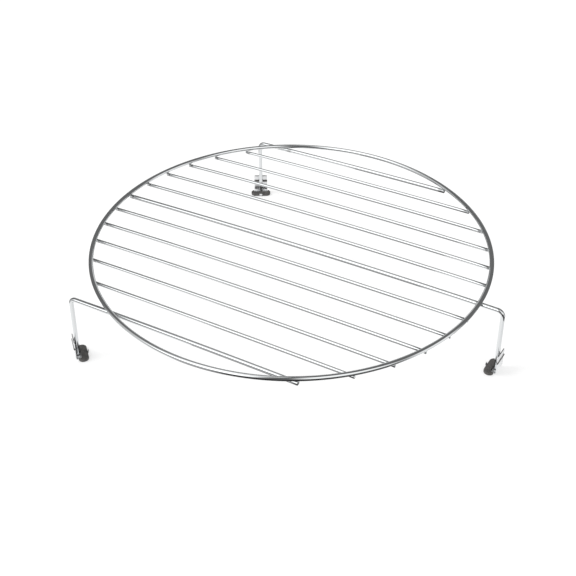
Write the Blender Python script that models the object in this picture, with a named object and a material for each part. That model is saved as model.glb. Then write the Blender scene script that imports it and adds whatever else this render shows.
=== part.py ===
"""Round wire rack for a microwave oven, on three legs with rubber feet.

A ring of thick wire lies on thirteen parallel wires and is welded to them. The first, the
middle and the last wire are as thick as the ring. They run out past it at one end and turn
down as legs. A folded steel clip is welded to the outer side of each leg, and its tongue
passes through a rubber pad, which stands on the floor.

Lengths are in metres. +X runs along the wires, +Z is up, and the origin is on the floor
under the middle of the box that the rack fills.
"""

import math

import bmesh
import bpy
from mathutils import Vector

# Ring and wires
RING_RADIUS = 0.145
RING_WIRE = 0.0032
RING_HEIGHT = 0.0554
CROSS_WIRE = 0.0025
LEG_WIRE = 0.0032
WIRE_COUNT = 13
OUTER_WIRE_INSET = 0.0190
WIRE_OVERHANG = 0.0004
CROWN_RADIUS = 6.0
WELD_GAP = 0.0003

# Legs
LEG_SPLAY = math.radians(2.5)
LEG_BEND_RADIUS = 0.0045
LEG_END_HEIGHT = 0.0020

# Foot clip
CLIP_THICKNESS = 0.0006
CLIP_WIDTH = 0.0116
CLIP_HEIGHT = 0.0168
CLIP_BEND_RADIUS = 0.0011
CLIP_CORNER = 0.0010
FLANGE_HEIGHT = 0.0008
FLANGE_GRIP = 0.0013
TONGUE_WIDTH = 0.0025
TONGUE_TIP_RISE = 0.0010
RIB_HEIGHT = 0.0098
RIB_SPAN = 0.0027
RIB_DEPTH = 0.0006

# Foot pad
PAD_LENGTH = 0.0171
PAD_INNER = 0.0068
PAD_OUTER = 0.0006
PAD_THICKNESS = 0.0023
PAD_CORNER = 0.0035
PAD_EDGE = 0.0004
FIT_GAP = 0.0003

# Fineness of the round shapes
RING_STEPS = 96
WIRE_ROUNDNESS = 4
CROWN_STEPS = 8
BEND_STEPS = 6
FOLD_STEPS = 4
EDGE_STEPS = 2
SMOOTH_ANGLE = math.radians(35)

# Sizes that follow from the ones above
MIDDLE_WIRE = (WIRE_COUNT + 1) // 2
WIRE_PITCH = (RING_RADIUS - OUTER_WIRE_INSET) / (MIDDLE_WIRE - 1)
CUT_RADIUS = RING_RADIUS + WIRE_OVERHANG
FLANGE_TOP = FLANGE_HEIGHT + CLIP_THICKNESS
CLIP_FACE = (LEG_WIRE / 2 + WELD_GAP) / math.cos(LEG_SPLAY)
NOTCH_FACE = -(LEG_WIRE / 2 + PAD_THICKNESS * math.tan(LEG_SPLAY) + FIT_GAP)

# Each leg's name, its wire, the end of that wire along X, how far outside the ring it turns
# down, and how far its foot is turned from pointing straight outward
LEGS = (
    ("right", MIDDLE_WIRE, 1, 0.0160, math.radians(-4.5)),
    ("back", 1, -1, 0.0150, math.radians(-9.0)),
    ("left", WIRE_COUNT, -1, 0.0177, math.radians(-3.0)),
)


def start_empty():
    """Remove every object that the file holds."""
    for thing in list(bpy.data.objects):
        bpy.data.objects.remove(thing, do_unlink=True)


def finish(name, colour, metallic, roughness):
    """A material of one colour."""
    material = bpy.data.materials.new(name)
    material.use_nodes = True
    shader = material.node_tree.nodes["Principled BSDF"]
    shader.inputs["Base Color"].default_value = (*colour, 1.0)
    shader.inputs["Metallic"].default_value = metallic
    shader.inputs["Roughness"].default_value = roughness
    return material


def empty(name, parent=None):
    """A frame that pieces are placed by."""
    thing = bpy.data.objects.new(name, None)
    bpy.context.collection.objects.link(thing)
    thing.parent = parent
    return thing


def piece(name, data, material, parent):
    """An object with its material, placed by its parent."""
    thing = bpy.data.objects.new(name, data)
    data.materials.append(material)
    bpy.context.collection.objects.link(thing)
    thing.parent = parent
    return thing


def tube(name, points, diameter, material, parent, closed=False):
    """A round wire along a line of points, with flat cut ends unless it is closed."""
    curve = bpy.data.curves.new(name, "CURVE")
    curve.dimensions = "3D"
    curve.bevel_depth = diameter / 2
    curve.bevel_resolution = WIRE_ROUNDNESS
    curve.use_fill_caps = not closed
    spline = curve.splines.new("POLY")
    spline.points.add(len(points) - 1)
    for control, point in zip(spline.points, points):
        control.co = (*point, 1.0)
    spline.use_cyclic_u = closed
    spline.use_smooth = True
    return piece(name, curve, material, parent)


def wire_offset(number):
    """Place of a wire along Y. Wire 1 is the back one."""
    return (MIDDLE_WIRE - number) * WIRE_PITCH


def half_chord(radius, offset):
    """Half the length that a circle cuts from a wire."""
    return math.sqrt(radius ** 2 - offset ** 2)


def wire_height(x, offset, diameter):
    """Height of a wire's centre at x: it touches the ring, and is slightly arched between."""
    at_ring = RING_HEIGHT - RING_WIRE / 2 - WELD_GAP - diameter / 2
    return at_ring + (half_chord(RING_RADIUS, offset) ** 2 - x ** 2) / (2 * CROWN_RADIUS)


def level_points(start, end, offset, diameter):
    """Points along the centre of a wire, from one x to another."""
    xs = [start + (end - start) * step / CROWN_STEPS for step in range(CROWN_STEPS + 1)]
    return [Vector((x, offset, wire_height(x, offset, diameter))) for x in xs]


def rounded_corner(before, corner, after, radius):
    """Points on the arc that rounds the corner between two straight runs."""
    into = (corner - before).normalized()
    out = (after - corner).normalized()
    turn = into.angle(out)
    side = (out - into * into.dot(out)).normalized()
    start = corner - into * radius * math.tan(turn / 2)
    centre = start + side * radius
    angles = [turn * step / BEND_STEPS for step in range(BEND_STEPS + 1)]
    return [centre + (into * math.sin(a) - side * math.cos(a)) * radius for a in angles]


def leg_corner(number, side, reach):
    """Where a leg wire would turn down if its bend had no radius."""
    offset = wire_offset(number)
    x = side * half_chord(RING_RADIUS + reach, offset)
    return Vector((x, offset, wire_height(x, offset, LEG_WIRE)))


def leg_point(corner, height):
    """Point on a leg's centre line at a height above the floor. The leg leans outward."""
    outward = Vector((corner.x, corner.y, 0.0)).normalized()
    drop = corner.z - height
    return corner + outward * drop * math.tan(LEG_SPLAY) - Vector((0.0, 0.0, drop))


def make_ring(material, parent):
    """The ring, which lies on top of the wires."""
    points = []
    for step in range(RING_STEPS):
        angle = 2 * math.pi * step / RING_STEPS
        points.append((RING_RADIUS * math.cos(angle), RING_RADIUS * math.sin(angle), RING_HEIGHT))
    return tube("rim_ring", points, RING_WIRE, material, parent, closed=True)


def make_cross_wire(number, material, parent):
    """A thinner wire, cut off under the ring at both ends."""
    offset = wire_offset(number)
    end = half_chord(CUT_RADIUS, offset)
    points = level_points(-end, end, offset, CROSS_WIRE)
    return tube(f"cross_wire_{number:02d}", points, CROSS_WIRE, material, parent)


def make_leg_wire(name, number, side, corner, material, parent):
    """A thicker wire, cut off under the ring at one end and turned down at the other."""
    offset = wire_offset(number)
    end = leg_point(corner, LEG_END_HEIGHT)
    start = -side * half_chord(CUT_RADIUS, offset)
    level = level_points(start, side * half_chord(RING_RADIUS, offset), offset, LEG_WIRE)
    bend = rounded_corner(level[-1], corner, end, LEG_BEND_RADIUS)
    return tube(f"{name}_leg_wire", level + bend + [end], LEG_WIRE, material, parent)


def foot_frame(name, corner, turn, parent):
    """Frame where a leg's centre line meets the floor, with +X pointing outward."""
    thing = empty(f"{name}_foot", parent)
    thing.location = leg_point(corner, 0.0)
    thing.rotation_euler.z = math.atan2(corner.y, corner.x) + turn
    return thing


def fold(out, up, radius, start, end):
    """Points on a fold of the strip, given its centre, radius and first and last angle."""
    angles = [start + (end - start) * step / FOLD_STEPS for step in range(FOLD_STEPS + 1)]
    return [(out + radius * math.cos(a), up + radius * math.sin(a)) for a in angles]


def upright(height, depth=0.0):
    """Point on the clip's inner face, which runs along the leg. Depth is the rib's, outward."""
    return (CLIP_FACE - height * math.tan(LEG_SPLAY) + depth, height)


def clip_rows():
    """The clip's inner face in section, from the tongue's tip to the top edge.

    Each row has its point (out, up) and half the width of the strip there.
    """
    tip = -(PAD_INNER + FIT_GAP)
    tip_radius = CLIP_THICKNESS / 2
    tip_level = FLANGE_TOP + tip_radius
    foot_level = FLANGE_TOP + CLIP_BEND_RADIUS
    foot_out = upright(foot_level)[0] - CLIP_BEND_RADIUS

    tongue = [(tip, tip_level + TONGUE_TIP_RISE)]
    tongue += fold(tip + tip_radius, tip_level, tip_radius, math.pi, 1.5 * math.pi)
    plate = [(NOTCH_FACE - FLANGE_GRIP, FLANGE_TOP)]
    plate += fold(foot_out, foot_level, CLIP_BEND_RADIUS, -0.5 * math.pi, 0.0)

    rib_top = RIB_HEIGHT + RIB_SPAN
    plate += [
        upright(RIB_HEIGHT),
        upright(RIB_HEIGHT + RIB_DEPTH, RIB_DEPTH),
        upright(rib_top - RIB_DEPTH, RIB_DEPTH),
        upright(rib_top),
        upright(CLIP_HEIGHT),
    ]
    narrow = [(point, TONGUE_WIDTH / 2) for point in tongue]
    return narrow + [(point, CLIP_WIDTH / 2) for point in plate]


def clip_sheet():
    """Mesh of the clip's inner face: a blank with a narrow tongue, folded and ribbed."""
    columns = (-CLIP_WIDTH / 2, -TONGUE_WIDTH / 2, TONGUE_WIDTH / 2, CLIP_WIDTH / 2)
    sheet = bmesh.new()
    lines = []
    for (out, up), half_width in clip_rows():
        line = {}
        for index, across in enumerate(columns):
            if abs(across) <= half_width:
                line[index] = sheet.verts.new((out, across, up))
        lines.append(line)
    for lower, upper in zip(lines, lines[1:]):
        for index in range(len(columns) - 1):
            corners = [lower.get(index), lower.get(index + 1), upper.get(index + 1), upper.get(index)]
            if None not in corners:
                sheet.faces.new(corners)

    top_corners = [lines[-1][0], lines[-1][len(columns) - 1]]
    bmesh.ops.bevel(sheet, geom=top_corners, offset=CLIP_CORNER, segments=FOLD_STEPS,
                    profile=0.5, affect="VERTICES")
    mesh = bpy.data.meshes.new("clip_sheet")
    sheet.to_mesh(mesh)
    sheet.free()
    return mesh


def make_clip(name, material, parent):
    """Sheet steel clip: a plate along the leg with a rib across it, and a flange and tongue."""
    mesh = clip_sheet()
    mesh.shade_smooth()
    mesh.set_sharp_from_angle(angle=SMOOTH_ANGLE)
    clip = piece(f"{name}_foot_clip", mesh, material, parent)
    wall = clip.modifiers.new("Wall", "SOLIDIFY")
    wall.thickness = CLIP_THICKNESS
    wall.offset = 1.0
    wall.use_even_offset = True
    return clip


def prism(name, outline, bottom, top):
    """Mesh of an outline (out, across), given from above and raised to a height."""
    solid = bmesh.new()
    base = solid.faces.new([solid.verts.new((out, across, bottom)) for out, across in outline])
    raised = bmesh.ops.extrude_face_region(solid, geom=[base])
    moved = [item for item in raised["geom"] if isinstance(item, bmesh.types.BMVert)]
    bmesh.ops.translate(solid, verts=moved, vec=(0.0, 0.0, top - bottom))
    bmesh.ops.recalc_face_normals(solid, faces=solid.faces)
    mesh = bpy.data.meshes.new(name)
    solid.to_mesh(mesh)
    solid.free()
    return mesh


def pad_outline():
    """The pad from above, an oblong with round ends."""
    quarter = 0.5 * math.pi
    end = PAD_LENGTH / 2 - PAD_CORNER
    corners = (
        (PAD_OUTER - PAD_CORNER, end),
        (PAD_CORNER - PAD_INNER, end),
        (PAD_CORNER - PAD_INNER, -end),
        (PAD_OUTER - PAD_CORNER, -end),
    )
    outline = []
    for turn, (out, across) in enumerate(corners):
        outline += fold(out, across, PAD_CORNER, turn * quarter, (turn + 1) * quarter)
    return outline


def notch_outline():
    """The pad's notch from above, which takes the clip and the leg."""
    half_notch = CLIP_WIDTH / 2 + FIT_GAP
    outer_end = PAD_OUTER + PAD_THICKNESS
    return [
        (NOTCH_FACE, -half_notch),
        (outer_end, -half_notch),
        (outer_end, half_notch),
        (NOTCH_FACE, half_notch),
    ]


def slot_outline():
    """The pad's slot from above: wide where the flange goes in, narrow for the tongue."""
    half_flange = CLIP_WIDTH / 2 + FIT_GAP
    half_tongue = TONGUE_WIDTH / 2 + FIT_GAP
    outer_end = PAD_OUTER + PAD_THICKNESS
    inner_end = -PAD_INNER - PAD_THICKNESS
    shoulder = NOTCH_FACE - FLANGE_GRIP - FIT_GAP
    return [
        (outer_end, -half_flange),
        (outer_end, half_flange),
        (shoulder, half_flange),
        (shoulder, half_tongue),
        (inner_end, half_tongue),
        (inner_end, -half_tongue),
        (shoulder, -half_tongue),
        (shoulder, -half_flange),
    ]


def cut_away(body, name, outline, bottom, top):
    """Cut a prism out of a body that has the same frame."""
    mesh = prism(name, outline, bottom, top)
    cutter = piece(f"{name}_cutter", mesh, body.active_material, body.parent)
    cutter.hide_render = True
    cutter.display_type = "WIRE"
    cut = body.modifiers.new(name, "BOOLEAN")
    cut.object = cutter
    cut.operation = "DIFFERENCE"
    cut.solver = "EXACT"


def make_pad(name, material, parent):
    """Rubber pad with rounded edges, a notch, and a slot for the clip's flange and tongue."""
    mesh = prism("pad_body", pad_outline(), 0.0, PAD_THICKNESS)
    mesh.shade_smooth()
    mesh.set_sharp_from_angle(angle=SMOOTH_ANGLE)
    pad = piece(f"{name}_foot_pad", mesh, material, parent)
    edges = pad.modifiers.new("Edges", "BEVEL")
    edges.width = PAD_EDGE
    edges.segments = EDGE_STEPS
    edges.limit_method = "ANGLE"
    edges.angle_limit = SMOOTH_ANGLE

    cut_away(pad, f"{name}_notch", notch_outline(), -PAD_THICKNESS, 2 * PAD_THICKNESS)
    cut_away(pad, f"{name}_slot", slot_outline(), FLANGE_HEIGHT - FIT_GAP, FLANGE_TOP + FIT_GAP)
    return pad


def middle_along_x(pieces):
    """Middle of the box that the pieces fill, along X."""
    graph = bpy.context.evaluated_depsgraph_get()
    places = []
    for thing in pieces:
        shaped = thing.evaluated_get(graph)
        mesh = shaped.to_mesh()
        places += [(shaped.matrix_world @ vertex.co).x for vertex in mesh.vertices]
        shaped.to_mesh_clear()
    return (min(places) + max(places)) / 2


def make_rack():
    """The whole rack, centred on the origin."""
    chrome = finish("bright_chrome_wire", (0.82, 0.83, 0.84), 1.0, 0.08)
    steel = finish("bright_strip_steel", (0.70, 0.70, 0.70), 1.0, 0.25)
    rubber = finish("black_rubber", (0.03, 0.03, 0.03), 0.0, 0.60)

    rack = empty("rack")
    pieces = [make_ring(chrome, rack)]
    leg_wires = [leg[1] for leg in LEGS]
    for number in range(1, WIRE_COUNT + 1):
        if number not in leg_wires:
            pieces.append(make_cross_wire(number, chrome, rack))
    for name, number, side, reach, turn in LEGS:
        corner = leg_corner(number, side, reach)
        pieces.append(make_leg_wire(name, number, side, corner, chrome, rack))
        foot = foot_frame(name, corner, turn, rack)
        pieces.append(make_clip(name, steel, foot))
        pieces.append(make_pad(name, rubber, foot))
    rack.location.x = -middle_along_x(pieces)


start_empty()
make_rack()
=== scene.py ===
"""Microwave oven rack: a ring on thirteen wires in bright chrome, on three legs with padded feet.

Each group of pieces has its own operator, and the sizes and colours that a user would change are
properties in the sidebar. Run as a script, it builds all of them around the fixed frame, in metres.
"""

import math

import bpy
from bpy.props import FloatProperty, FloatVectorProperty, PointerProperty
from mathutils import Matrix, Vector


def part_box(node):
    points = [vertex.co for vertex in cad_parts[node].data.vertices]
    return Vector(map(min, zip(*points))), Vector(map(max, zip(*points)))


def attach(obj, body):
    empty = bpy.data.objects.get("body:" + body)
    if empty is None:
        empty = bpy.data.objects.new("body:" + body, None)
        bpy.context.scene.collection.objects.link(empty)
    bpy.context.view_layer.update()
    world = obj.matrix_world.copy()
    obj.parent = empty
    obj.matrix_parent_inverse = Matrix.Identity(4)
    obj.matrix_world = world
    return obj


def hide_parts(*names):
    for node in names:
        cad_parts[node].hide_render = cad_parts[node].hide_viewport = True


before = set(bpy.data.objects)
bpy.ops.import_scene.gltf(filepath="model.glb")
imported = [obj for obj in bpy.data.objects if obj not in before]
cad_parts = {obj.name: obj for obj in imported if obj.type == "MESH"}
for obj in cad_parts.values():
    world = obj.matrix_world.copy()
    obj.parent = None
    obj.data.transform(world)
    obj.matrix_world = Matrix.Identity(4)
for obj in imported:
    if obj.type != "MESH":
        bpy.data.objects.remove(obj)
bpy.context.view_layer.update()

bl_info = {
    "name": "Microwave Rack",
    "version": (1, 0, 0),
    "blender": (4, 5, 0),
    "location": "View3D > Sidebar > Rack",
    "description": "Builds a chromed wire rack with three padded feet in a white studio",
    "category": "Add Mesh",
}

# Places and thicknesses that the frame gives
RING_LOW, RING_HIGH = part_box("rim_ring")
RACK_MIDDLE = (RING_LOW.x + RING_HIGH.x) / 2
RING_WIRE = RING_HIGH.z - RING_LOW.z
RING_HEIGHT = (RING_LOW.z + RING_HIGH.z) / 2
RING_RADIUS = (RING_HIGH.x - RING_LOW.x - RING_WIRE) / 2
THIN_LOW, THIN_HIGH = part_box("cross_wire_06")
CROSS_WIRE = THIN_HIGH.y - THIN_LOW.y
WIRE_PITCH = (THIN_HIGH.y + THIN_LOW.y) / 2
LEG_LOW, LEG_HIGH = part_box("right_leg_wire")
LEG_WIRE = LEG_HIGH.y - LEG_LOW.y
PAD_LOW, PAD_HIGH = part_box("right_foot_pad")

WIRE_COUNT = 13
MIDDLE_WIRE = (WIRE_COUNT + 1) // 2

# Each leg's name, its wire, the end of that wire along X, how far outside the ring it turns
# down, and how far its foot is turned from pointing straight outward
LEGS = (
    ("right", MIDDLE_WIRE, 1, 0.0160, math.radians(-4.5)),
    ("back", 1, -1, 0.0150, math.radians(-9.0)),
    ("left", WIRE_COUNT, -1, 0.0177, math.radians(-3.0)),
)

# Heights of the two spot welds that hold a clip to its leg
CLIP_WELD_HEIGHTS = (0.0056, 0.0152)

# Levels of a weld bead as shares of its half height, with the share of its flare that each has,
# and how many times as long as wide a bead is at most
BEAD_LEVELS = ((-1.0, 1.0), (-0.45, 0.35), (0.0, 0.0), (0.45, 0.35), (1.0, 1.0))
LONGEST_BEAD = 1.9

# Shade is painted on the plating in a narrow band inside the ring's centre line, where the wires
# come
# out from under it: how far inside it is, where it starts to fade and ends, and how strong it is
RING_SHADE_INSIDE = 0.0024
RING_SHADE_FULL = 0.0004
RING_SHADE_FADED = 0.0012
RING_SHADE_SHARE = 0.55

# How much rougher a patch of painted shade is, and how dark the painted shade on a clip's top edge
# is as a share of the rib's
DULL_ROUGHNESS = 0.25
EDGE_SHADE_SHARE = 0.6

# Fineness of the meshes
RING_STEPS = 288
RING_SIDES = 24
WIRE_SIDES = 20
BEAD_SIDES = 16
CARD_SIDES = 64
CROWN_STEPS = 24
BEND_STEPS = 12
FOLD_STEPS = 8
CORNER_STEPS = 8
MERGE_GAP = 0.00001
SMOOTH_ANGLE = math.radians(35)


def linear(hex_colour):
    """Turn an sRGB hex colour into linear red, green, blue and alpha."""
    channels = [int(hex_colour[start:start + 2], 16) / 255 for start in (1, 3, 5)]
    return [c / 12.92 if c <= 0.04045 else ((c + 0.055) / 1.055) ** 2.4 for c in channels] + [1.0]


def length(name, default, description):
    """A length that a user can change."""
    return FloatProperty(name=name, description=description, default=default, min=0.0,
                         precision=5, subtype="DISTANCE", unit="LENGTH")


def angle(name, default, description):
    """An angle that a user can change, with its default in degrees."""
    return FloatProperty(name=name, description=description, default=math.radians(default),
                         subtype="ANGLE", unit="ROTATION")


def share(name, default, description):
    """A value between nothing and all that a user can change."""
    return FloatProperty(name=name, description=description, default=default, min=0.0, max=1.0,
                         subtype="FACTOR")


def colour(name, default, description):
    """A colour that a user can change, with its default in sRGB hex."""
    return FloatVectorProperty(name=name, description=description, default=linear(default),
                               size=4, min=0.0, max=1.0, subtype="COLOR")


class RackWires(bpy.types.PropertyGroup):
    """Sizes of the ring, the wires and the legs."""

    ring_radius: length("Ring radius", RING_RADIUS, "From the ring's middle to its wire's centre")
    ring_wire: length("Ring wire", RING_WIRE, "Thickness of the ring's wire")
    ring_height: length("Ring height", RING_HEIGHT, "From the floor to the ring wire's centre")
    cross_wire: length("Cross wire", CROSS_WIRE, "Thickness of the ten thin wires")
    leg_wire: length("Leg wire", LEG_WIRE, "Thickness of the three wires that end in legs")
    pitch: length("Wire pitch", WIRE_PITCH, "From one wire to the next")
    overhang: length("Overhang", 0.0004, "How far a cut end reaches past the ring's centre line")
    crown_radius: length("Crown radius", 6.0, "Radius of the slight arch of every wire")
    weld_gap: length("Weld gap", 0.0003, "Space between welded pieces, which the weld fills")
    cut_edge: length("Cut edge", 0.00025, "Width of the worn edge round a cut end")
    bend_radius: length("Bend radius", 0.0045, "Radius of a leg's bend at its centre line")
    leg_splay: angle("Leg splay", 2.5, "How far a leg leans outward")
    leg_end: length("Leg end", 0.0020, "From the floor to the lower end of a leg")


class RackFeet(bpy.types.PropertyGroup):
    """Sizes of the folded clips and of the pads under them."""

    sheet: length("Sheet", 0.0006, "Thickness of the clip's sheet steel")
    clip_width: length("Clip width", 0.0116, "Width of the strip that a clip is folded from")
    clip_height: length("Clip height", 0.0168, "From the floor to a clip's top edge")
    clip_corner: length("Clip corner", 0.0010, "Radius of a clip's two upper corners")
    clip_edge: length("Clip edge", 0.00012, "Width of the rounding on a clip's punched edges")
    fold_radius: length("Fold radius", 0.0011, "Inner radius of the fold at the clip's foot")
    flange_height: length("Flange height", 0.0008, "From the floor to the flange in the pad")
    flange_grip: length("Flange grip", 0.0013, "How far the full-width flange reaches into the pad")
    tongue_width: length("Tongue width", 0.0025, "Width of the tongue that runs through the pad")
    tongue_rise: length("Tongue rise", 0.0010, "How far the tongue's tip stands up behind the pad")
    rib_height: length("Rib height", 0.0098, "From the floor to the rib's lower edge")
    rib_span: length("Rib span", 0.0027, "Height of the rib pressed across the clip")
    rib_depth: length("Rib depth", 0.0006, "How far the rib is pressed outward")
    pad_length: length("Pad length", 0.0171, "Length of a pad across its foot")
    pad_inner: length("Pad inner", 0.0068, "How far a pad reaches under the rack")
    pad_outer: length("Pad outer", 0.0006, "How far a pad reaches outside the leg")
    pad_thickness: length("Pad thickness", PAD_HIGH.z - PAD_LOW.z, "Thickness of a pad")
    pad_corner: length("Pad corner", 0.0035, "Radius of a pad's corners seen from above")
    pad_edge: length("Pad edge", 0.0004, "Radius of a pad's moulded edges")
    fit_gap: length("Fit gap", 0.0003, "Space between a pad and the steel in it")


class RackFinishes(bpy.types.PropertyGroup):
    """Colours and gloss of the surfaces."""

    chrome: colour("Chrome", "#CDCFD0", "Colour of the plating")
    # The colour of the shade painted on the plating where the wires come out from under the ring
    chrome_painted_shade: colour("Dull chrome", "#747474", "Colour of the thin plating beside a weld")
    chrome_roughness: share("Chrome roughness", 0.045, "Roughness of the plating")
    weld: colour("Weld", "#4A4744", "Colour of the plated weld metal")
    steel: colour("Clip steel", "#D4D5D6", "Colour of the bright strip steel")
    # The colour of the shade painted in the pressed rib and along the clip's top edge
    steel_painted_shade: colour("Rib shade", "#6E6C6A", "Colour of the steel in the pressed rib")
    steel_roughness: share("Steel roughness", 0.32, "Roughness of the strip steel")
    rubber: colour("Rubber", "#464544", "Colour of the pads")
    rubber_worn: colour("Worn rubber", "#5A5856", "Colour of the pads where they are rubbed")
    rubber_roughness: share("Rubber roughness", 0.62, "Roughness of the pads")


class RackStudio(bpy.types.PropertyGroup):
    """The white studio and the camera."""

    floor: colour("Floor", "#FFFFFF", "Colour of the floor and the backdrop")
    floor_size: length("Floor size", 6.0, "Side of the square floor")
    fill: FloatProperty(name="Fill", description="Strength of the even light from all around",
                        default=0.92, min=0.0)
    key: FloatProperty(name="Key", description="Strength of the light from the left",
                       default=1.1, min=0.0)
    key_elevation: angle("Key elevation", 50.0, "How high the light on the left stands")
    key_width: angle("Key width", 20.0, "How wide the light on the left looks from the rack")
    card_radius: length("Card radius", 0.075, "Radius of the white card under each foot")
    card: FloatProperty(name="Card", description="Brightness of the cards in the plating",
                        default=1.3, min=0.0)
    lens: FloatProperty(name="Lens", description="Focal length of the camera, in millimetres",
                        default=54.83, min=1.0, unit="CAMERA")
    view_azimuth: angle("View azimuth", 28.41, "How far the camera is turned from looking along Y")
    view_elevation: angle("View elevation", 37.73, "How far the camera looks down")
    view_distance: length("View distance", 0.6446, "From the camera to the ring's middle, ahead")
    view_right: length("View right", 0.0024, "How far the ring's middle lies right of the axis")
    view_up: length("View up", 0.0339, "How far the ring's middle lies above the axis")


def deselect():
    """Leave nothing selected, so that an operator acts on the new piece alone."""
    bpy.ops.object.select_all(action="DESELECT")


def edit_parts(piece, kind, test):
    """Select only the vertices, edges or faces that pass a test, and stay in edit mode."""
    bpy.ops.object.mode_set(mode="EDIT")
    bpy.ops.mesh.select_mode(type=kind)
    bpy.ops.mesh.select_all(action="DESELECT")
    bpy.ops.object.mode_set(mode="OBJECT")
    mesh = piece.data
    parts = {"VERT": mesh.vertices, "EDGE": mesh.edges, "FACE": mesh.polygons}[kind]
    for part in parts:
        part.select = test(part)
    bpy.ops.object.mode_set(mode="EDIT")


def edge_points(piece, edge):
    """The two ends of an edge."""
    return [piece.data.vertices[index].co for index in edge.vertices]


def finish_mesh():
    """Close the active mesh, turn its faces outward and leave edit mode."""
    bpy.ops.mesh.select_all(action="SELECT")
    bpy.ops.mesh.remove_doubles(threshold=MERGE_GAP)
    bpy.ops.mesh.fill_holes(sides=0)
    bpy.ops.mesh.normals_make_consistent(inside=False)
    bpy.ops.object.mode_set(mode="OBJECT")


def shade():
    """Shade the active piece smooth, with sharp edges where it turns sharply."""
    bpy.ops.object.shade_smooth_by_angle(angle=SMOOTH_ANGLE)


def apply_place():
    """Move the active piece's place into its mesh."""
    bpy.ops.object.transform_apply(location=True, rotation=True, scale=True)


def apply_modifier(piece, name, kind, **settings):
    """Give a piece a modifier and apply it at once."""
    modifier = piece.modifiers.new(name, kind)
    for key, value in settings.items():
        setattr(modifier, key, value)
    bpy.ops.object.modifier_apply(modifier=modifier.name)


def select_only(piece):
    """Make a piece active, with nothing else selected."""
    deselect()
    piece.select_set(True)
    bpy.context.view_layer.objects.active = piece


def copy_piece(piece, name):
    """A copy of a piece with its own mesh, left active and selected."""
    select_only(piece)
    bpy.ops.object.duplicate(linked=False)
    copy = bpy.context.object
    copy.name = name
    return copy


def settle(piece, material, slot, *nodes):
    """Give a finished piece its material, its body and the nodes that it stands for."""
    piece.data.materials.clear()
    piece.data.materials.append(material)
    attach(piece, "root")
    if nodes:
        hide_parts(*nodes)


def wire_offset(wires, number):
    """Place of a wire along Y. Wire 1 is the back one."""
    return (MIDDLE_WIRE - number) * wires.pitch


def half_chord(radius, offset):
    """Half the length that a circle cuts from a wire."""
    return math.sqrt(radius ** 2 - offset ** 2)


def height_at_ring(wires, diameter):
    """Height of a wire's centre where it passes under the ring."""
    return wires.ring_height - wires.ring_wire / 2 - wires.weld_gap - diameter / 2


def wire_point(wires, x, offset, diameter):
    """A point on a wire's centre line. The wire is slightly arched between its two welds."""
    rise = (half_chord(wires.ring_radius, offset) ** 2 - x ** 2) / (2 * wires.crown_radius)
    return Vector((RACK_MIDDLE + x, offset, height_at_ring(wires, diameter) + rise))


def start_wire(place, direction, diameter, sides=WIRE_SIDES):
    """Start a wire with a circle of its thickness, selected in edit mode."""
    deselect()
    turn = direction.to_track_quat("Z", "Y").to_euler()
    bpy.ops.mesh.primitive_circle_add(vertices=sides, radius=diameter / 2, location=place,
                                      rotation=turn)
    bpy.ops.object.mode_set(mode="EDIT")
    bpy.ops.mesh.select_all(action="SELECT")


def bend_on(centre, axis, turn, steps):
    """Carry the selected end round an axis. Spin itself turns clockwise, so the turn is negated."""
    bpy.ops.mesh.spin(steps=steps, angle=-turn, center=centre, axis=axis)


def run_on(travel):
    """Carry the selected end straight on."""
    bpy.ops.mesh.extrude_region_move(TRANSFORM_OT_translate={"value": travel})


def arch_on(wires, start, end, offset, diameter):
    """Draw a wire along its arch, from one x to another. Return its end."""
    first = wire_point(wires, start, offset, diameter)
    last = wire_point(wires, end, offset, diameter)
    top = wire_point(wires, 0.0, offset, diameter)
    centre = top - Vector((0.0, 0.0, wires.crown_radius))
    turn = math.asin(end / wires.crown_radius) - math.asin(start / wires.crown_radius)
    along = Vector((0.0, 1.0, 0.0)).cross(first - centre)
    start_wire(first, along, diameter)
    bend_on(centre, (0.0, 1.0, 0.0), turn, CROWN_STEPS)
    return last


def cut_ends(wires):
    """Close the active wire's two cut ends and round their edges a little."""
    finish_mesh()
    edit_parts(bpy.context.object, "FACE", lambda face: len(face.vertices) > 4)
    bpy.ops.mesh.bevel(offset=wires.cut_edge, segments=2, affect="EDGES")
    bpy.ops.object.mode_set(mode="OBJECT")
    shade()
    apply_place()


def leg_corner(wires, number, side, reach):
    """Where a leg wire would turn down if its bend had no radius."""
    offset = wire_offset(wires, number)
    x = side * half_chord(wires.ring_radius + reach, offset)
    return wire_point(wires, x, offset, wires.leg_wire)


def outward(corner):
    """The level direction from the rack's middle to a leg."""
    return Vector((corner.x - RACK_MIDDLE, corner.y, 0.0)).normalized()


def leg_point(wires, corner, height):
    """A point on a leg's centre line at a height above the floor. The leg leans outward."""
    drop = corner.z - height
    return corner + outward(corner) * drop * math.tan(wires.leg_splay) - Vector((0, 0, drop))


def put_on_foot(wires, piece, leg):
    """Move a piece made at the origin, facing +X, to the foot of a leg."""
    name, number, side, reach, turn = leg
    corner = leg_corner(wires, number, side, reach)
    facing = outward(corner)
    piece.location = leg_point(wires, corner, 0.0)
    piece.rotation_euler.z = math.atan2(facing.y, facing.x) + turn
    apply_place()


def one_per_leg(wires, pattern, suffix, material, slot, node_suffix):
    """Put a copy of a pattern piece on each leg, and remove the pattern."""
    for leg in LEGS:
        copy = copy_piece(pattern, f"{leg[0]}_{suffix}")
        put_on_foot(wires, copy, leg)
        settle(copy, material, slot, f"{leg[0]}_{node_suffix}")
    bpy.data.objects.remove(pattern)


def feed(tree, node, inputs):
    """Set or link a node's inputs."""
    for key, value in inputs.items():
        if isinstance(value, bpy.types.NodeSocket):
            tree.links.new(value, node.inputs[key])
        else:
            node.inputs[key].default_value = value


def add_node(tree, kind, settings=None, inputs=None):
    """Add a node with its settings, and set or link its inputs."""
    node = tree.nodes.new(kind)
    for key, value in (settings or {}).items():
        setattr(node, key, value)
    feed(tree, node, inputs or {})
    return node


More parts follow.
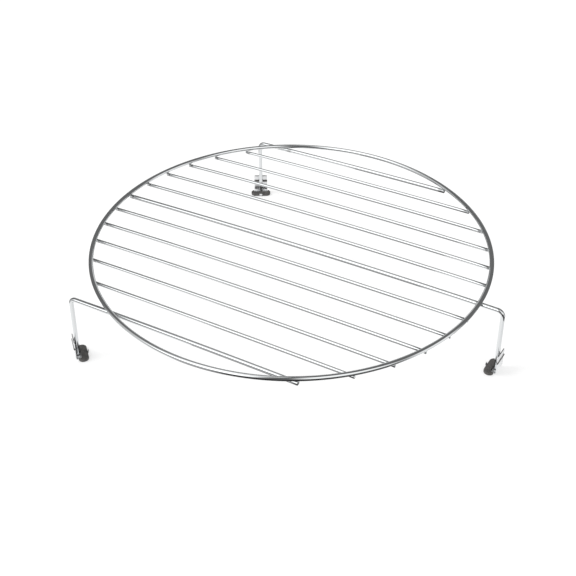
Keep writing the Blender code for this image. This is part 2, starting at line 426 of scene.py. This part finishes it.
def new_material(name):
    """An empty material with a surface shader. Return it, its tree and the shader."""
    material = bpy.data.materials.new(name)
    material.use_nodes = True
    tree = material.node_tree
    return material, tree, tree.nodes["Principled BSDF"]


def existing(make):
    """The material that a function of its name makes, made when it is first asked for."""
    return bpy.data.materials.get(make.__name__) or make(make.__name__)


def bright_chrome(name):
    """Bright nickel and chrome plating on drawn steel wire.

    Plating follows the wire's fine ripples and keeps a mirror gloss. In the corners beside the
    welds under the ring it is rougher and has painted shade.
    """
    finishes = bpy.context.scene.rack_finishes
    wires = bpy.context.scene.rack_wires
    material, tree, shader = new_material(name)
    place = add_node(tree, "ShaderNodeTexCoord").outputs["Object"]

    # How far each point is from the middle of the band of painted shade, which is painted only
    # below the ring's wire
    level = add_node(tree, "ShaderNodeMapping", None,
                     {"Vector": place, "Location": (-RACK_MIDDLE, 0.0, 0.0), "Scale": (1, 1, 0)})
    radius = add_node(tree, "ShaderNodeVectorMath", {"operation": "LENGTH"},
                      {0: level.outputs["Vector"]})
    off_ring = add_node(tree, "ShaderNodeMath", {"operation": "SUBTRACT"},
                        {0: radius.outputs["Value"], 1: wires.ring_radius - RING_SHADE_INSIDE})
    distance = add_node(tree, "ShaderNodeMath", {"operation": "ABSOLUTE"},
                        {0: off_ring.outputs["Value"]})
    under_ring_shade = add_node(tree, "ShaderNodeMapRange", {"interpolation_type": "SMOOTHSTEP"},
                         {"Value": distance.outputs["Value"], "From Min": RING_SHADE_FULL,
                          "From Max": RING_SHADE_FADED, "To Min": RING_SHADE_SHARE, "To Max": 0.0})
    height = add_node(tree, "ShaderNodeSeparateXYZ", None, {"Vector": place}).outputs["Z"]
    below = add_node(tree, "ShaderNodeMath", {"operation": "LESS_THAN"},
                     {0: height, 1: wires.ring_height - wires.ring_wire / 2})
    painted_shade_mask = add_node(tree, "ShaderNodeMath", {"operation": "MULTIPLY"},
                       {0: under_ring_shade.outputs["Result"], 1: below.outputs["Value"]})

    # Haze and ripples: cloudy spots about 6 mm across, ripples about 0.9 mm
    haze = add_node(tree, "ShaderNodeTexNoise", None,
                    {"Vector": place, "Scale": 160.0, "Detail": 4.0, "Roughness": 0.6})
    gloss = add_node(tree, "ShaderNodeMapRange", None,
                     {"Value": haze.outputs["Fac"], "From Min": 0.35, "From Max": 0.7,
                      "To Min": finishes.chrome_roughness * 0.6,
                      "To Max": finishes.chrome_roughness * 1.6})
    dulled = add_node(tree, "ShaderNodeMath", {"operation": "MULTIPLY_ADD"},
                      {0: painted_shade_mask.outputs["Value"], 1: DULL_ROUGHNESS,
                       2: gloss.outputs["Result"]})
    # The shade is painted here, by mixing the plating's colour towards a dark grey
    tint = add_node(tree, "ShaderNodeMix", {"data_type": "RGBA"},
                    {0: painted_shade_mask.outputs["Value"], 6: finishes.chrome[:],
                     7: finishes.chrome_painted_shade[:]})
    ripple = add_node(tree, "ShaderNodeTexNoise", None,
                      {"Vector": place, "Scale": 1100.0, "Detail": 2.0, "Roughness": 0.5})
    bump = add_node(tree, "ShaderNodeBump", None,
                    {"Height": ripple.outputs["Fac"], "Strength": 0.25, "Distance": 0.00002})
    feed(tree, shader, {"Base Color": tint.outputs[2], "Roughness": dulled.outputs["Value"],
                        "Normal": bump.outputs["Normal"], "Metallic": 1.0})
    return material


def plated_weld(name):
    """Weld metal squeezed out between crossing wires, plated over with them.

    Its surface is uneven, so the plating looks darker and less sharp than on the wire.
    """
    finishes = bpy.context.scene.rack_finishes
    material, tree, shader = new_material(name)
    place = add_node(tree, "ShaderNodeTexCoord").outputs["Object"]
    lumps = add_node(tree, "ShaderNodeTexNoise", None,
                     {"Vector": place, "Scale": 1500.0, "Detail": 3.0})
    tint = add_node(tree, "ShaderNodeMix", {"data_type": "RGBA"},
                    {0: lumps.outputs["Fac"], 6: finishes.weld[:], 7: finishes.chrome[:]})
    bump = add_node(tree, "ShaderNodeBump", None,
                    {"Height": lumps.outputs["Fac"], "Strength": 0.6, "Distance": 0.00008})
    feed(tree, shader, {"Base Color": tint.outputs[2], "Roughness": 0.3,
                        "Normal": bump.outputs["Normal"], "Metallic": 1.0})
    return material


def plated_strip(name):
    """Cold rolled strip steel with a bright plating, punched and folded.

    The strip's rolling lines run along it. Its top edge and its pressed rib are rougher and have
    painted shade.
    """
    finishes = bpy.context.scene.rack_finishes
    feet = bpy.context.scene.rack_feet
    material, tree, shader = new_material(name)
    place = add_node(tree, "ShaderNodeTexCoord").outputs["Object"]
    height = add_node(tree, "ShaderNodeSeparateXYZ", None, {"Vector": place}).outputs["Z"]
    # Shade is painted in the pressed rib, strongest in its middle
    rib_middle = feet.rib_height + feet.rib_span / 2
    from_rib = add_node(tree, "ShaderNodeMath", {"operation": "SUBTRACT"},
                        {0: height, 1: rib_middle})
    distance = add_node(tree, "ShaderNodeMath", {"operation": "ABSOLUTE"},
                        {0: from_rib.outputs["Value"]})
    rib_painted_shade = add_node(tree, "ShaderNodeMapRange", {"interpolation_type": "SMOOTHSTEP"},
                      {"Value": distance.outputs["Value"], "From Min": feet.rib_span * 0.3,
                       "From Max": feet.rib_span * 0.44, "To Min": 1.0, "To Max": 0.0})

    # Shade is painted along the punched edge at the clip's top, which is also rougher
    at_top = add_node(tree, "ShaderNodeMath", {"operation": "GREATER_THAN"},
                      {0: height, 1: feet.clip_height - feet.sheet * 0.6})
    edge_painted_shade = add_node(tree, "ShaderNodeMath", {"operation": "MULTIPLY"},
                         {0: at_top.outputs["Value"], 1: EDGE_SHADE_SHARE})
    dark = add_node(tree, "ShaderNodeMath", {"operation": "MAXIMUM"},
                    {0: rib_painted_shade.outputs["Result"], 1: edge_painted_shade.outputs["Value"]})

    # Rolling lines 0.15 mm apart, drawn twice as coarse so that they show
    stretched = add_node(tree, "ShaderNodeMapping", None,
                         {"Vector": place, "Scale": (1.0, 1.0, 0.06)})
    lines = add_node(tree, "ShaderNodeTexNoise", None,
                     {"Vector": stretched.outputs["Vector"], "Scale": 3300.0, "Detail": 2.0})
    gloss = add_node(tree, "ShaderNodeMapRange", None,
                     {"Value": lines.outputs["Fac"], "From Min": 0.3, "From Max": 0.7,
                      "To Min": finishes.steel_roughness * 0.7,
                      "To Max": finishes.steel_roughness * 1.3})
    dull = add_node(tree, "ShaderNodeMath", {"operation": "MULTIPLY_ADD"},
                    {0: dark.outputs["Value"], 1: DULL_ROUGHNESS, 2: gloss.outputs["Result"]})
    # The painted shade mixes the steel's colour towards a dark grey
    tint = add_node(tree, "ShaderNodeMix", {"data_type": "RGBA"},
                    {0: dark.outputs["Value"], 6: finishes.steel[:], 7: finishes.steel_painted_shade[:]})
    bump = add_node(tree, "ShaderNodeBump", None,
                    {"Height": lines.outputs["Fac"], "Strength": 0.2, "Distance": 0.00002})
    feed(tree, shader, {"Base Color": tint.outputs[2], "Roughness": dull.outputs["Value"],
                        "Normal": bump.outputs["Normal"], "Metallic": 1.0})
    return material


def moulded_rubber(name):
    """Heat resistant rubber from a spark eroded mould.

    The mould leaves a fine matt grain, and handling rubs paler patches into the black.
    """
    finishes = bpy.context.scene.rack_finishes
    material, tree, shader = new_material(name)
    place = add_node(tree, "ShaderNodeTexCoord").outputs["Object"]

    # Grain 0.25 mm across, and rubbed patches about 3 mm across
    grain = add_node(tree, "ShaderNodeTexNoise", None,
                     {"Vector": place, "Scale": 4000.0, "Detail": 3.0, "Roughness": 0.6})
    patches = add_node(tree, "ShaderNodeTexNoise", None,
                       {"Vector": place, "Scale": 330.0, "Detail": 3.0, "Roughness": 0.7})
    rubbed = add_node(tree, "ShaderNodeMapRange", None,
                      {"Value": patches.outputs["Fac"], "From Min": 0.4, "From Max": 0.68})
    tint = add_node(tree, "ShaderNodeMix", {"data_type": "RGBA"},
                    {0: rubbed.outputs["Result"], 6: finishes.rubber[:],
                     7: finishes.rubber_worn[:]})
    gloss = add_node(tree, "ShaderNodeMapRange", None,
                     {"Value": patches.outputs["Fac"], "From Min": 0.3, "From Max": 0.7,
                      "To Min": finishes.rubber_roughness,
                      "To Max": finishes.rubber_roughness - 0.1})
    bump = add_node(tree, "ShaderNodeBump", None,
                    {"Height": grain.outputs["Fac"], "Strength": 0.5, "Distance": 0.00005})
    feed(tree, shader, {"Base Color": tint.outputs[2], "Roughness": gloss.outputs["Result"],
                        "Normal": bump.outputs["Normal"], "Specular IOR Level": 0.4})
    return material


def white_sweep(name):
    """Seamless white paper. It keeps soft shadows, and half of what the camera sees is glow."""
    studio = bpy.context.scene.rack_studio
    material, tree, shader = new_material(name)
    feed(tree, shader, {"Base Color": studio.floor[:], "Roughness": 1.0,
                        "Specular IOR Level": 0.0})
    glow = add_node(tree, "ShaderNodeEmission", None,
                    {"Color": studio.floor[:], "Strength": 1.0})
    path = add_node(tree, "ShaderNodeLightPath")
    half = add_node(tree, "ShaderNodeMath", {"operation": "MULTIPLY"},
                    {0: path.outputs["Is Camera Ray"], 1: 0.5})
    mixed = add_node(tree, "ShaderNodeMixShader", None,
                     {0: half.outputs["Value"], 1: shader.outputs["BSDF"],
                      2: glow.outputs["Emission"]})
    feed(tree, tree.nodes["Material Output"], {"Surface": mixed.outputs["Shader"]})
    return material


def glowing_card(name):
    """A glowing white card that lies under a foot and shows only in the steel above it.

    It is not lit. Its glow is painted a little darker towards its right side, as if light fell on
    it from the left.
    """
    studio = bpy.context.scene.rack_studio
    material, tree, shader = new_material(name)
    place = add_node(tree, "ShaderNodeTexCoord").outputs["Object"]
    along = add_node(tree, "ShaderNodeSeparateXYZ", None, {"Vector": place}).outputs["X"]
    # The glow is painted to fade towards the card's right side
    fall = add_node(tree, "ShaderNodeMapRange", None,
                    {"Value": along, "From Min": -studio.card_radius / 3,
                     "From Max": studio.card_radius / 2, "To Min": studio.card,
                     "To Max": studio.card * 0.85})
    glow = add_node(tree, "ShaderNodeEmission", None,
                    {"Color": studio.floor[:], "Strength": fall.outputs["Result"]})
    feed(tree, tree.nodes["Material Output"], {"Surface": glow.outputs["Emission"]})
    return material


class RACK_OT_ring(bpy.types.Operator):
    """Bend the ring from thick round wire"""

    bl_idname = "rack.ring"
    bl_label = "Ring"

    def execute(self, context):
        wires = context.scene.rack_wires
        centre = Vector((RACK_MIDDLE, 0.0, wires.ring_height))
        start = centre + Vector((wires.ring_radius, 0.0, 0.0))
        start_wire(start, Vector((0.0, 1.0, 0.0)), wires.ring_wire, RING_SIDES)
        bend_on(centre, (0.0, 0.0, 1.0), 2 * math.pi, RING_STEPS)
        finish_mesh()
        shade()
        apply_place()
        ring = context.object
        ring.name = "chromed_ring"
        settle(ring, existing(bright_chrome), "chromed_wire", "rim_ring")
        return {"FINISHED"}


class RACK_OT_cross_wires(bpy.types.Operator):
    """Lay the ten thin wires under the ring"""

    bl_idname = "rack.cross_wires"
    bl_label = "Cross Wires"

    def execute(self, context):
        wires = context.scene.rack_wires
        chrome = existing(bright_chrome)
        for number in range(2, MIDDLE_WIRE):
            offset = wire_offset(wires, number)
            end = half_chord(wires.ring_radius + wires.overhang, offset)
            arch_on(wires, -end, end, offset, wires.cross_wire)
            cut_ends(wires)
            wire = context.object
            wire.name = f"chromed_wire_{number:02d}"

            # The wire as far in front of the middle has the same length
            opposite = WIRE_COUNT + 1 - number
            copy = copy_piece(wire, f"chromed_wire_{opposite:02d}")
            copy.location.y = -2 * offset
            apply_place()
            settle(wire, chrome, "chromed_wire", f"cross_wire_{number:02d}")
            settle(copy, chrome, "chromed_wire", f"cross_wire_{opposite:02d}")
        return {"FINISHED"}


class RACK_OT_leg_wires(bpy.types.Operator):
    """Bend the three thick wires that end in legs"""

    bl_idname = "rack.leg_wires"
    bl_label = "Leg Wires"

    def execute(self, context):
        wires = context.scene.rack_wires
        for name, number, side, reach, turn in LEGS:
            offset = wire_offset(wires, number)
            corner = leg_corner(wires, number, side, reach)
            end = leg_point(wires, corner, wires.leg_end)
            start = -side * half_chord(wires.ring_radius + wires.overhang, offset)
            past_ring = side * half_chord(wires.ring_radius, offset)
            last = arch_on(wires, start, past_ring, offset, wires.leg_wire)

            # The bend's arc touches the level run and the leg
            into = (corner - last).normalized()
            out = (end - corner).normalized()
            bend = into.angle(out)
            inner = (out - into * into.dot(out)).normalized()
            bend_start = corner - into * wires.bend_radius * math.tan(bend / 2)
            bend_end = corner + out * wires.bend_radius * math.tan(bend / 2)
            run_on(bend_start - last)
            bend_on(bend_start + inner * wires.bend_radius, into.cross(out), bend, BEND_STEPS)
            run_on(end - bend_end)
            cut_ends(wires)
            leg = context.object
            leg.name = f"{name}_leg"
            settle(leg, existing(bright_chrome), "chromed_wire", f"{name}_leg_wire")
        return {"FINISHED"}


def weld_bead(waist, flare, half_height):
    """A bead of weld metal at the origin, upright, narrow in the middle. It is left active."""
    deselect()
    bpy.ops.mesh.primitive_circle_add(vertices=BEAD_SIDES, radius=waist + flare,
                                      location=(0.0, 0.0, -half_height))
    bead = bpy.context.object
    bpy.ops.object.mode_set(mode="EDIT")
    bpy.ops.mesh.select_all(action="SELECT")
    level, radius = BEAD_LEVELS[0][0], waist + flare
    for next_level, widening in BEAD_LEVELS[1:]:
        next_radius = waist + flare * widening
        run_on((0.0, 0.0, (next_level - level) * half_height))
        ratio = next_radius / radius
        bpy.ops.transform.resize(value=(ratio, ratio, 1.0))
        level, radius = next_level, next_radius
    finish_mesh()
    edit_parts(bead, "FACE", lambda face: len(face.vertices) > 4)
    bpy.ops.mesh.inset(thickness=flare)
    bpy.ops.object.mode_set(mode="OBJECT")
    apply_modifier(bead, "Soft", "SUBSURF", levels=1, render_levels=1)
    apply_place()
    return bead


def join_welds(pattern, beads, name, slot):
    """Join the beads of one kind of weld into one piece, and remove their pattern."""
    bpy.data.objects.remove(pattern)
    select_only(beads[0])
    for bead in beads:
        bead.select_set(True)
    bpy.ops.object.join()
    beads[0].name = name
    shade()
    settle(beads[0], existing(plated_weld), slot)


class RACK_OT_ring_welds(bpy.types.Operator):
    """Put a bead of weld metal where each wire meets the ring"""

    bl_idname = "rack.ring_welds"
    bl_label = "Ring Welds"

    def execute(self, context):
        wires = context.scene.rack_wires
        bead = weld_bead(waist=0.0007, flare=0.0004, half_height=0.0008)
        height = wires.ring_height - wires.ring_wire / 2 - wires.weld_gap / 2
        beads = []
        for number in range(1, WIRE_COUNT + 1):
            offset = wire_offset(wires, number)
            reach = half_chord(wires.ring_radius, offset)
            for side in (-1, 1):
                copy = copy_piece(bead, "bead")
                copy.location = (RACK_MIDDLE + side * reach, offset, height)

                # Two wires that cross at a small angle touch along a longer patch
                crossing = math.atan2(reach, abs(offset))
                lean = -crossing / 2 * side * (1 if offset > 0 else -1)
                copy.rotation_euler.z = lean
                copy.scale = (min(1 / math.sin(crossing), LONGEST_BEAD), 1.0, 1.0)
                apply_place()
                beads.append(copy)
        join_welds(bead, beads, "ring_welds", "chromed_wire")
        return {"FINISHED"}


def clip_face(wires, height, depth=0.0):
    """A point on the clip's inner face, which runs up along the leg."""
    touching = (wires.leg_wire / 2 + wires.weld_gap) / math.cos(wires.leg_splay)
    return Vector((touching - height * math.tan(wires.leg_splay) + depth, 0.0, height))


def notch_face(wires, feet):
    """How far inward the pad's notch reaches, behind the leg."""
    return -(wires.leg_wire / 2 + feet.pad_thickness * math.tan(wires.leg_splay) + feet.fit_gap)


class RACK_OT_clips(bpy.types.Operator):
    """Fold the three sheet steel clips, each with a rib, a flange and a tongue"""

    bl_idname = "rack.clips"
    bl_label = "Foot Clips"

    def execute(self, context):
        wires = context.scene.rack_wires
        feet = context.scene.rack_feet
        flange_top = feet.flange_height + feet.sheet
        foot_level = flange_top + feet.fold_radius
        rib_top = feet.rib_height + feet.rib_span
        half_width = feet.clip_width / 2
        half_tongue = feet.tongue_width / 2

        # The blank starts as a plane above the rib, with a column for the tongue
        deselect()
        top = clip_face(wires, feet.clip_height)
        over_rib = clip_face(wires, rib_top)
        bpy.ops.mesh.primitive_plane_add(size=1.0, location=(top + over_rib) / 2,
                                         rotation=(0.0, math.pi / 2 - wires.leg_splay, 0.0))
        blank = context.object
        blank.scale = ((top - over_rib).length, feet.clip_width, 1.0)
        apply_place()
        for side in (-1, 1):
            bpy.ops.object.mode_set(mode="EDIT")
            bpy.ops.mesh.select_all(action="SELECT")
            bpy.ops.mesh.bisect(plane_co=(0.0, side * half_tongue, 0.0), plane_no=(0.0, 1.0, 0.0))
            bpy.ops.object.mode_set(mode="OBJECT")

        # The lower edge is drawn down over the rounded rib to the fold
        lowest = min(vertex.co.z for vertex in blank.data.vertices) + MERGE_GAP
        edit_parts(blank, "EDGE",
                   lambda edge: all(point.z < lowest for point in edge_points(blank, edge)))
        before = over_rib
        for step in range(1, 2 * FOLD_STEPS + 1):
            down = step / (2 * FOLD_STEPS)
            depth = feet.rib_depth * (1 - math.cos(2 * math.pi * down)) / 2
            after = clip_face(wires, rib_top - feet.rib_span * down, depth)
            run_on(after - before)
            before = after
        fold_start = clip_face(wires, foot_level)
        run_on(fold_start - before)
        fold_centre = fold_start - Vector((feet.fold_radius, 0.0, 0.0))
        bend_on(fold_centre, (0.0, 1.0, 0.0), math.pi / 2, FOLD_STEPS)
        flange_end = notch_face(wires, feet) - feet.flange_grip
        run_on((flange_end - fold_centre.x, 0.0, 0.0))

        # The tongue is drawn from the middle of the flange, and its tip is turned up
        bpy.ops.object.mode_set(mode="OBJECT")
        innermost = flange_end + MERGE_GAP
        widest = half_tongue + MERGE_GAP
        edit_parts(blank, "EDGE", lambda edge: all(
            point.x < innermost and abs(point.y) < widest for point in edge_points(blank, edge)))
        tip_radius = feet.sheet / 2
        tip = -(feet.pad_inner + feet.fit_gap)
        run_on((tip + tip_radius - flange_end, 0.0, 0.0))
        tip_centre = Vector((tip + tip_radius, 0.0, flange_top + tip_radius))
        bend_on(tip_centre, (0.0, 1.0, 0.0), math.pi / 2, FOLD_STEPS // 2)
        run_on((0.0, 0.0, feet.tongue_rise))
        bpy.ops.object.mode_set(mode="OBJECT")

        edit_parts(blank, "VERT", lambda vertex: vertex.co.z > top.z - MERGE_GAP
                   and abs(vertex.co.y) > half_width - MERGE_GAP)
        bpy.ops.mesh.bevel(offset=feet.clip_corner, segments=CORNER_STEPS, affect="VERTICES")
        bpy.ops.mesh.select_all(action="SELECT")
        bpy.ops.mesh.remove_doubles(threshold=MERGE_GAP)
        bpy.ops.mesh.normals_make_consistent(inside=False)
        bpy.ops.object.mode_set(mode="OBJECT")
        apply_modifier(blank, "Wall", "SOLIDIFY", thickness=feet.sheet, offset=1.0,
                       use_even_offset=True)
        apply_modifier(blank, "Edges", "BEVEL", width=feet.clip_edge, segments=2,
                       limit_method="ANGLE", angle_limit=math.radians(60))
        shade()
        one_per_leg(wires, blank, "clip", existing(plated_strip), "strip_steel", "foot_clip")
        return {"FINISHED"}


class RACK_OT_clip_welds(bpy.types.Operator):
    """Put two spot welds between each clip and its leg"""

    bl_idname = "rack.clip_welds"
    bl_label = "Clip Welds"

    def execute(self, context):
        wires = context.scene.rack_wires
        bead = weld_bead(waist=0.0008, flare=0.0003, half_height=0.0005)
        bead.rotation_euler.y = math.pi / 2
        apply_place()
        beads = []
        for leg in LEGS:
            for height in CLIP_WELD_HEIGHTS:
                copy = copy_piece(bead, "bead")
                touching = clip_face(wires, height)
                copy.location = touching - Vector((wires.weld_gap / 2, 0.0, 0.0))
                apply_place()
                put_on_foot(wires, copy, leg)
                beads.append(copy)
        join_welds(bead, beads, "clip_welds", "strip_steel")
        return {"FINISHED"}


def add_block(low, high):
    """A block between two corners, used as a cutter."""
    low, high = Vector(low), Vector(high)
    deselect()
    bpy.ops.mesh.primitive_cube_add(size=1.0, location=(low + high) / 2)
    block = bpy.context.object
    block.scale = high - low
    apply_place()
    return block


def cut_away(piece, cutter):
    """Cut a cutter's shape out of a piece and remove the cutter."""
    select_only(piece)
    apply_modifier(piece, "Cut", "BOOLEAN", object=cutter, operation="DIFFERENCE", solver="EXACT")
    bpy.data.objects.remove(cutter)


class RACK_OT_pads(bpy.types.Operator):
    """Mould the three rubber pads, each with a notch and a slot for its clip"""

    bl_idname = "rack.pads"
    bl_label = "Foot Pads"

    def execute(self, context):
        wires = context.scene.rack_wires
        feet = context.scene.rack_feet
        deselect()
        middle = (feet.pad_outer - feet.pad_inner) / 2
        bpy.ops.mesh.primitive_plane_add(size=1.0, location=(middle, 0.0, 0.0))
        pad = context.object
        pad.scale = (feet.pad_outer + feet.pad_inner, feet.pad_length, 1.0)
        apply_place()
        bpy.ops.object.mode_set(mode="EDIT")
        bpy.ops.mesh.select_all(action="SELECT")
        bpy.ops.mesh.bevel(offset=feet.pad_corner, segments=CORNER_STEPS * 2, affect="VERTICES")
        bpy.ops.mesh.select_all(action="SELECT")
        run_on((0.0, 0.0, feet.pad_thickness))
        finish_mesh()
        edit_parts(pad, "FACE", lambda face: abs(face.normal.z) > 0.9)
        bpy.ops.mesh.bevel(offset=feet.pad_edge, segments=3, affect="EDGES")
        bpy.ops.object.mode_set(mode="OBJECT")

        notch = notch_face(wires, feet)
        half_clip = feet.clip_width / 2 + feet.fit_gap
        half_tongue = feet.tongue_width / 2 + feet.fit_gap
        shoulder = notch - feet.flange_grip - feet.fit_gap
        slot_bottom = feet.flange_height - feet.fit_gap
        slot_top = feet.flange_height + feet.sheet + feet.fit_gap
        beyond = feet.pad_inner + feet.pad_thickness
        cuts = (
            ((notch, -half_clip, -beyond), (beyond, half_clip, beyond)),
            ((shoulder, -half_clip, slot_bottom), (beyond, half_clip, slot_top)),
            ((-beyond, -half_tongue, slot_bottom), (beyond, half_tongue, slot_top)),
        )
        for low, high in cuts:
            cut_away(pad, add_block(low, high))
        shade()
        one_per_leg(wires, pad, "pad", existing(moulded_rubber), "rubber", "foot_pad")
        return {"FINISHED"}


# What the plating mirrors around the rack. Each patch has its middle azimuth and half width, its
# lowest and highest elevation, and its brightness. Azimuth 0 is straight behind the rack as the
# camera sees it and 90 is to its right. A later patch lies over an earlier one. Angles are in
# degrees. A soft edge is twice PATCH_EDGE wide, and DARK_ROOM is the brightness between patches.
SURROUNDINGS = (
    ("table", 0, 180, -95, -10, 0.15),
    ("sweep on the table", -10, 35, -55, -35, 0.8),
    ("sweep behind", 5, 20, 0, 20, 1.0),
    ("ceiling", -60, 55, 60, 95, 1.3),
    ("left wall", -90, 15, -55, 60, 0.8),
    ("left softbox", -130, 30, 10, 70, 2.2),
    ("right wall", 105, 15, -25, 30, 1.3),
    ("right softbox", 150, 25, 5, 75, 1.5),
    ("card on the left", -120, 20, -45, -20, 1.0),
    ("dark behind the camera", 185, 30, -95, 0, 0.05),
)
PATCH_EDGE = 8
DARK_ROOM = 0.2


def patch_mask(tree, azimuth, elevation, patch):
    """How much of a direction lies inside a patch, from 0 to 1."""
    name, middle, half_width, low, high, brightness = patch
    turned = add_node(tree, "ShaderNodeMath", {"operation": "SUBTRACT"},
                      {0: azimuth, 1: math.radians(middle)})
    wrapped = add_node(tree, "ShaderNodeMath", {"operation": "WRAP"},
                       {0: turned.outputs["Value"], 1: math.pi, 2: -math.pi})
    aside = add_node(tree, "ShaderNodeMath", {"operation": "ABSOLUTE"},
                     {0: wrapped.outputs["Value"]})
    edges = (
        (aside.outputs["Value"], half_width + PATCH_EDGE, half_width - PATCH_EDGE),
        (elevation, low - PATCH_EDGE, low + PATCH_EDGE),
        (elevation, high + PATCH_EDGE, high - PATCH_EDGE),
    )
    mask = None
    for value, outside, inside in edges:
        if half_width == 180 and value != elevation:
            continue
        ramp = add_node(tree, "ShaderNodeMapRange", {"interpolation_type": "SMOOTHSTEP"},
                        {"Value": value, "From Min": math.radians(outside),
                         "From Max": math.radians(inside)}).outputs["Result"]
        if mask is None:
            mask = ramp
        else:
            mask = add_node(tree, "ShaderNodeMath", {"operation": "MULTIPLY"},
                            {0: mask, 1: ramp}).outputs["Value"]
    return mask


def level_axes(studio):
    """The level directions to the camera's right and away from it."""
    right = Vector((math.cos(studio.view_azimuth), math.sin(studio.view_azimuth), 0.0))
    return right, Vector((-right.y, right.x, 0.0))


def build_world(studio):
    """White for the camera, even light for matt surfaces, and the studio for the plating."""
    world = bpy.data.worlds.new("white_studio")
    bpy.context.scene.world = world
    world.use_nodes = True
    tree = world.node_tree
    direction = add_node(tree, "ShaderNodeTexCoord").outputs["Generated"]
    parts = []
    for axis in level_axes(studio):
        part = add_node(tree, "ShaderNodeVectorMath", {"operation": "DOT_PRODUCT"},
                        {0: direction, 1: axis})
        parts.append(part.outputs["Value"])
    azimuth = add_node(tree, "ShaderNodeMath", {"operation": "ARCTAN2"},
                       {0: parts[0], 1: parts[1]}).outputs["Value"]
    height = add_node(tree, "ShaderNodeSeparateXYZ", None, {"Vector": direction}).outputs["Z"]
    elevation = add_node(tree, "ShaderNodeMath", {"operation": "ARCSINE"},
                         {0: height}).outputs["Value"]

    brightness = DARK_ROOM
    for patch in SURROUNDINGS:
        mask = patch_mask(tree, azimuth, elevation, patch)
        brightness = add_node(tree, "ShaderNodeMix", {"data_type": "FLOAT"},
                              {0: mask, 2: brightness, 3: patch[-1]}).outputs[0]

    path = add_node(tree, "ShaderNodeLightPath")
    even = add_node(tree, "ShaderNodeMix", {"data_type": "FLOAT"},
                    {0: path.outputs["Is Glossy Ray"], 2: studio.fill, 3: brightness})
    seen = add_node(tree, "ShaderNodeMix", {"data_type": "FLOAT"},
                    {0: path.outputs["Is Camera Ray"], 2: even.outputs[0], 3: 1.0})
    feed(tree, tree.nodes["Background"], {"Color": studio.floor[:], "Strength": seen.outputs[0]})


def lay_floor(studio):
    """Lay the white floor. The plating mirrors the surroundings instead."""
    deselect()
    bpy.ops.mesh.primitive_plane_add(size=studio.floor_size)
    floor = bpy.context.object
    floor.name = "studio_floor"
    floor.data.materials.append(existing(white_sweep))
    floor.visible_glossy = False


def lay_cards(studio, wires):
    """Lay a glowing card under each foot. It brightens the leg and shows in nothing but the steel.
    """
    for name, number, side, reach, turn in LEGS:
        foot = leg_point(wires, leg_corner(wires, number, side, reach), 0.0)
        deselect()
        bpy.ops.mesh.primitive_circle_add(vertices=CARD_SIDES, radius=studio.card_radius,
                                          fill_type="NGON", location=foot,
                                          rotation=(0.0, 0.0, studio.view_azimuth))
        card = bpy.context.object
        card.name = f"{name}_card"
        card.data.materials.append(existing(glowing_card))
        for ray in ("camera", "diffuse", "transmission", "volume_scatter", "shadow"):
            setattr(card, f"visible_{ray}", False)


def add_key_light(studio):
    """Add the light on the left, so that shadows fall to the right."""
    right = level_axes(studio)[0]
    toward = Vector((0.0, 0.0, math.tan(studio.key_elevation))) - right
    bpy.ops.object.light_add(type="SUN", location=toward,
                             rotation=toward.to_track_quat("Z", "Y").to_euler())
    key = bpy.context.object
    key.name = "key_light"
    key.data.energy = studio.key
    key.data.angle = studio.key_width
    key.visible_glossy = False


def add_camera(studio, wires):
    """Stand the camera where the ring's middle falls at the given place in its view."""
    right, away = level_axes(studio)
    down = Vector((0.0, 0.0, -math.sin(studio.view_elevation)))
    ahead = away * math.cos(studio.view_elevation) + down
    place = Vector((RACK_MIDDLE, 0.0, wires.ring_height)) - ahead * studio.view_distance
    place -= right * studio.view_right
    place -= right.cross(ahead) * studio.view_up
    tilt = (math.pi / 2 - studio.view_elevation, 0.0, studio.view_azimuth)
    bpy.ops.object.camera_add(location=place, rotation=tilt)
    camera = bpy.context.object
    camera.data.lens = studio.lens
    bpy.context.scene.camera = camera


class RACK_OT_studio(bpy.types.Operator):
    """Set up the white floor, the light and the camera"""

    bl_idname = "rack.studio"
    bl_label = "Studio"

    def execute(self, context):
        studio = context.scene.rack_studio
        wires = context.scene.rack_wires
        lay_floor(studio)
        build_world(studio)
        lay_cards(studio, wires)
        add_key_light(studio)
        add_camera(studio, wires)
        context.scene.view_settings.view_transform = "Standard"
        return {"FINISHED"}


STEPS = (
    RACK_OT_ring,
    RACK_OT_cross_wires,
    RACK_OT_leg_wires,
    RACK_OT_ring_welds,
    RACK_OT_clips,
    RACK_OT_clip_welds,
    RACK_OT_pads,
    RACK_OT_studio,
)
GROUPS = {
    "rack_wires": RackWires,
    "rack_feet": RackFeet,
    "rack_finishes": RackFinishes,
    "rack_studio": RackStudio,
}


class RACK_PT_sidebar(bpy.types.Panel):
    """Lists the rack's steps and sizes"""

    bl_idname = "RACK_PT_sidebar"
    bl_label = "Microwave Rack"
    bl_space_type = "VIEW_3D"
    bl_region_type = "UI"
    bl_category = "Rack"

    def draw(self, context):
        layout = self.layout
        for step in STEPS:
            layout.operator(step.bl_idname)
        for group_name in GROUPS:
            group = getattr(context.scene, group_name)
            box = layout.box()
            for key in group.__annotations__:
                box.prop(group, key)


def register():
    for group_name, group in GROUPS.items():
        bpy.utils.register_class(group)
        setattr(bpy.types.Scene, group_name, PointerProperty(type=group))
    for step in STEPS:
        bpy.utils.register_class(step)
    bpy.utils.register_class(RACK_PT_sidebar)


def unregister():
    bpy.utils.unregister_class(RACK_PT_sidebar)
    for step in reversed(STEPS):
        bpy.utils.unregister_class(step)
    for group_name, group in GROUPS.items():
        delattr(bpy.types.Scene, group_name)
        bpy.utils.unregister_class(group)


def main():
    """Build everything in order."""
    register()
    for step in STEPS:
        group, name = step.bl_idname.split(".")
        getattr(getattr(bpy.ops, group), name)()


if __name__ == "__main__":
    main()
